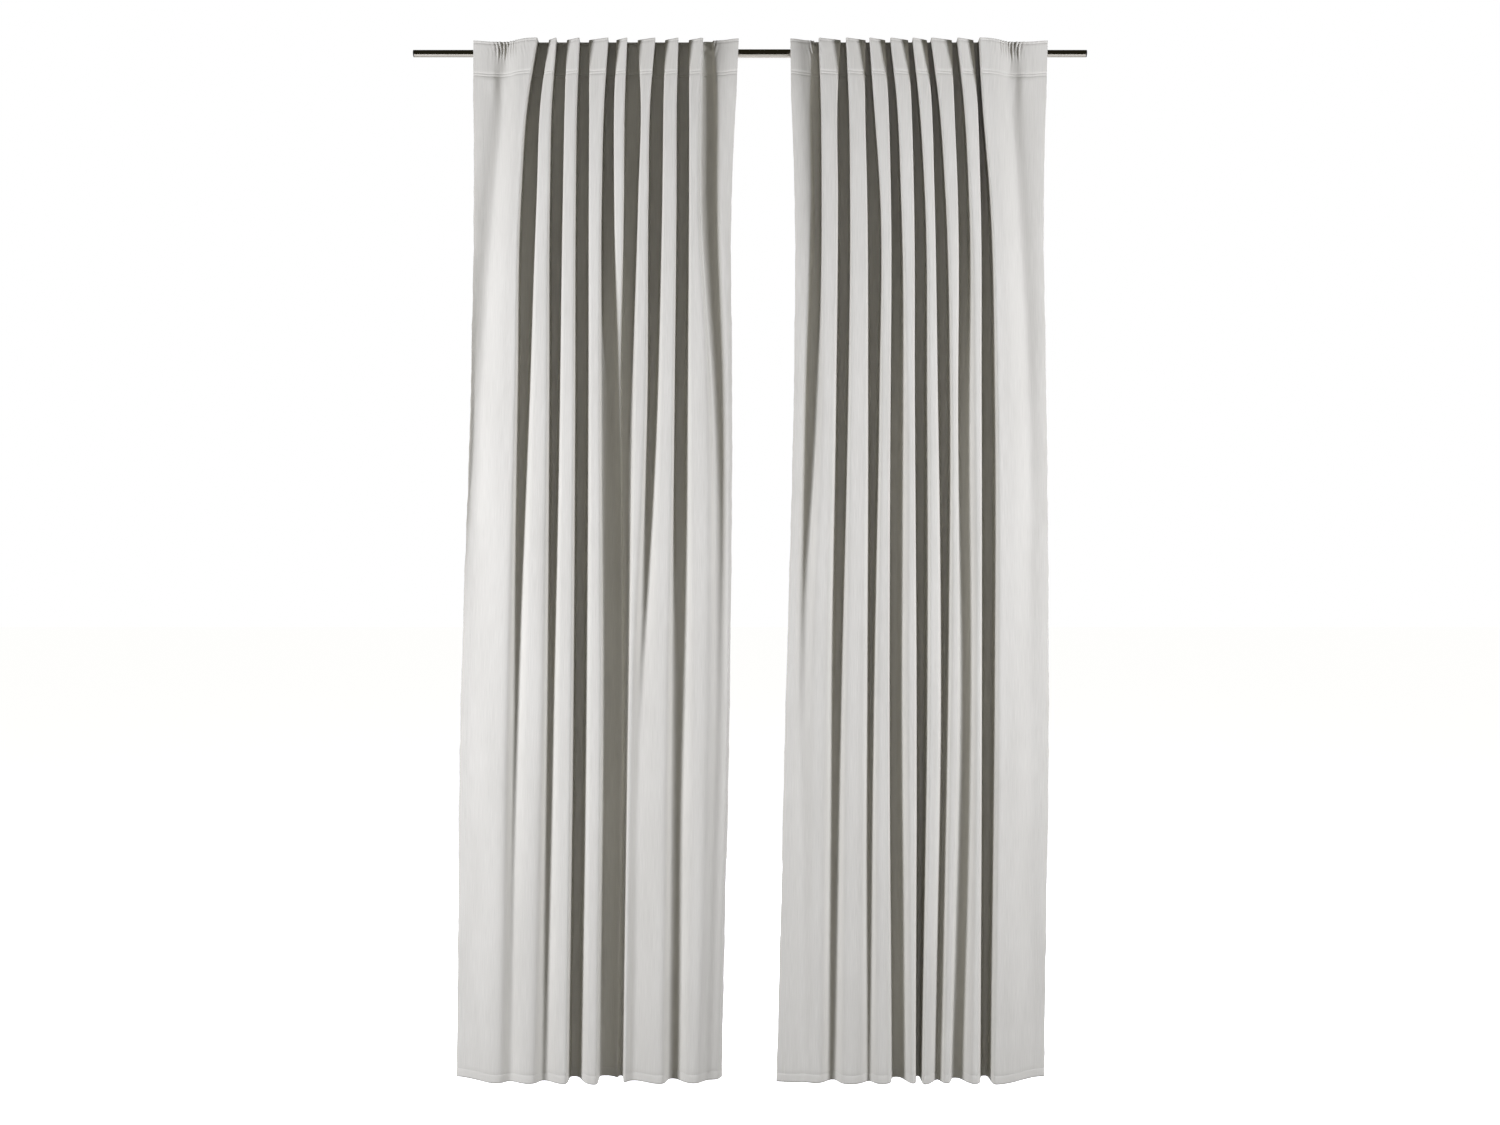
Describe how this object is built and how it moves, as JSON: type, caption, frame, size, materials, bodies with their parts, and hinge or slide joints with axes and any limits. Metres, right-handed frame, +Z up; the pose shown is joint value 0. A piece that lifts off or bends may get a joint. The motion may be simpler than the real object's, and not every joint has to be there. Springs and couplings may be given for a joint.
{
  "type": "curtains on a rod",
  "caption": "Light grey block-out curtains with hidden back tabs, hanging in deep folds from a thin telescoping metal rod.",
  "frame": {"origin": "on the rod's axis, at the middle of its length", "axes": "+X along the rod to the right seen from the room, +Y away from the room, towards the window, +Z up"},
  "size_m": [1.632, 0.0874, 2.5],
  "materials": {
    "cloth": "satin-weave block-out polyester",
    "tape": "woven polyester tape",
    "rod_metal": "glossy dark lacquer on steel tube",
    "plastic": "moulded black plastic"
  },
  "bodies": {
    "rod": {"rod_centre_tube": "rod_metal", "left_mouth_bush": "plastic", "right_mouth_bush": "plastic"},
    "rod_left_end": {"rod_left_tube": "rod_metal", "left_glide_plug": "plastic", "left_end_plug": "plastic"},
    "left_outer": {"left_outer_flap": "cloth", "left_fold_1": "cloth", "left_tab_1": "tape", "left_heading_tape": "tape", "left_bottom_hem": "cloth", "left_outer_side_hem": "cloth"},
    "left_carrier_2": {"left_fold_2": "cloth", "left_tab_2": "tape"},
    "left_carrier_3": {"left_fold_3": "cloth", "left_tab_3": "tape"},
    "left_carrier_4": {"left_fold_4": "cloth", "left_tab_4": "tape"},
    "left_carrier_5": {"left_fold_5": "cloth", "left_tab_5": "tape"},
    "left_carrier_6": {"left_fold_6": "cloth", "left_tab_6": "tape"},
    "left_carrier_7": {"left_fold_7": "cloth", "left_tab_7": "tape"},
    "left_carrier_8": {"left_fold_8": "cloth", "left_tab_8": "tape"},
    "left_lead": {"left_lead_flap": "cloth", "left_tab_9": "tape", "left_lead_side_hem": "cloth"},
    "rod_right_end": {"rod_right_tube": "rod_metal", "right_glide_plug": "plastic", "right_end_plug": "plastic"},
    "right_outer": {"right_outer_flap": "cloth", "right_fold_1": "cloth", "right_tab_1": "tape", "right_heading_tape": "tape", "right_bottom_hem": "cloth", "right_outer_side_hem": "cloth"},
    "right_carrier_2": {"right_fold_2": "cloth", "right_tab_2": "tape"},
    "right_carrier_3": {"right_fold_3": "cloth", "right_tab_3": "tape"},
    "right_carrier_4": {"right_fold_4": "cloth", "right_tab_4": "tape"},
    "right_carrier_5": {"right_fold_5": "cloth", "right_tab_5": "tape"},
    "right_carrier_6": {"right_fold_6": "cloth", "right_tab_6": "tape"},
    "right_carrier_7": {"right_fold_7": "cloth", "right_tab_7": "tape"},
    "right_carrier_8": {"right_fold_8": "cloth", "right_tab_8": "tape"},
    "right_lead": {"right_lead_flap": "cloth", "right_tab_9": "tape", "right_lead_side_hem": "cloth"}
  },
  "joints": [
    {"name": "left_tube_slide", "type": "slide", "parent": "rod", "child": "rod_left_end", "axis": [-1, 0, 0], "range_m": [-0.1, 0.06]},
    {"name": "left_curtain_slide", "type": "slide", "parent": "rod", "child": "left_outer", "axis": [1, 0, 0], "range_m": [-0.1, 0.06]},
    {"name": "left_gather", "type": "slide", "parent": "left_outer", "child": "left_lead", "axis": [-1, 0, 0], "range_m": [0, 0.2565], "deforming": ["left_heading_tape", "left_bottom_hem"]},
    {"name": "left_tab_2_slide", "type": "slide", "parent": "left_outer", "child": "left_carrier_2", "axis": [-1, 0, 0], "range_m": [-0.001, 0.0431]},
    {"name": "left_tab_3_slide", "type": "slide", "parent": "left_outer", "child": "left_carrier_3", "axis": [-1, 0, 0], "range_m": [-0.001, 0.0685]},
    {"name": "left_tab_4_slide", "type": "slide", "parent": "left_outer", "child": "left_carrier_4", "axis": [-1, 0, 0], "range_m": [-0.001, 0.0977]},
    {"name": "left_tab_5_slide", "type": "slide", "parent": "left_outer", "child": "left_carrier_5", "axis": [-1, 0, 0], "range_m": [-0.001, 0.1349]},
    {"name": "left_tab_6_slide", "type": "slide", "parent": "left_outer", "child": "left_carrier_6", "axis": [-1, 0, 0], "range_m": [-0.001, 0.1603]},
    {"name": "left_tab_7_slide", "type": "slide", "parent": "left_outer", "child": "left_carrier_7", "axis": [-1, 0, 0], "range_m": [-0.001, 0.1954]},
    {"name": "left_tab_8_slide", "type": "slide", "parent": "left_outer", "child": "left_carrier_8", "axis": [-1, 0, 0], "range_m": [-0.001, 0.2262]},
    {"name": "right_tube_slide", "type": "slide", "parent": "rod", "child": "rod_right_end", "axis": [1, 0, 0], "range_m": [-0.08, 0.06]},
    {"name": "right_curtain_slide", "type": "slide", "parent": "rod", "child": "right_outer", "axis": [-1, 0, 0], "range_m": [-0.08, 0.06]},
    {"name": "right_gather", "type": "slide", "parent": "right_outer", "child": "right_lead", "axis": [1, 0, 0], "range_m": [0, 0.2473], "deforming": ["right_heading_tape", "right_bottom_hem"]},
    {"name": "right_tab_2_slide", "type": "slide", "parent": "right_outer", "child": "right_carrier_2", "axis": [1, 0, 0], "range_m": [-0.001, 0.0426]},
    {"name": "right_tab_3_slide", "type": "slide", "parent": "right_outer", "child": "right_carrier_3", "axis": [1, 0, 0], "range_m": [-0.001, 0.069]},
    {"name": "right_tab_4_slide", "type": "slide", "parent": "right_outer", "child": "right_carrier_4", "axis": [1, 0, 0], "range_m": [-0.001, 0.1036]},
    {"name": "right_tab_5_slide", "type": "slide", "parent": "right_outer", "child": "right_carrier_5", "axis": [1, 0, 0], "range_m": [-0.001, 0.129]},
    {"name": "right_tab_6_slide", "type": "slide", "parent": "right_outer", "child": "right_carrier_6", "axis": [1, 0, 0], "range_m": [-0.001, 0.157]},
    {"name": "right_tab_7_slide", "type": "slide", "parent": "right_outer", "child": "right_carrier_7", "axis": [1, 0, 0], "range_m": [-0.001, 0.1846]},
    {"name": "right_tab_8_slide", "type": "slide", "parent": "right_outer", "child": "right_carrier_8", "axis": [1, 0, 0], "range_m": [-0.001, 0.2137]}
  ],
  "couplings": [
    {"joint": "left_tab_2_slide", "follows": "left_gather", "ratio": 0.16421},
    {"joint": "left_tab_3_slide", "follows": "left_gather", "ratio": 0.26316},
    {"joint": "left_tab_4_slide", "follows": "left_gather", "ratio": 0.37684},
    {"joint": "left_tab_5_slide", "follows": "left_gather", "ratio": 0.52211},
    {"joint": "left_tab_6_slide", "follows": "left_gather", "ratio": 0.62105},
    {"joint": "left_tab_7_slide", "follows": "left_gather", "ratio": 0.75789},
    {"joint": "left_tab_8_slide", "follows": "left_gather", "ratio": 0.87789},
    {"joint": "right_tab_2_slide", "follows": "right_gather", "ratio": 0.16812},
    {"joint": "right_tab_3_slide", "follows": "right_gather", "ratio": 0.27511},
    {"joint": "right_tab_4_slide", "follows": "right_gather", "ratio": 0.41485},
    {"joint": "right_tab_5_slide", "follows": "right_gather", "ratio": 0.51747},
    {"joint": "right_tab_6_slide", "follows": "right_gather", "ratio": 0.631},
    {"joint": "right_tab_7_slide", "follows": "right_gather", "ratio": 0.74236},
    {"joint": "right_tab_8_slide", "follows": "right_gather", "ratio": 0.86026}
  ]
}
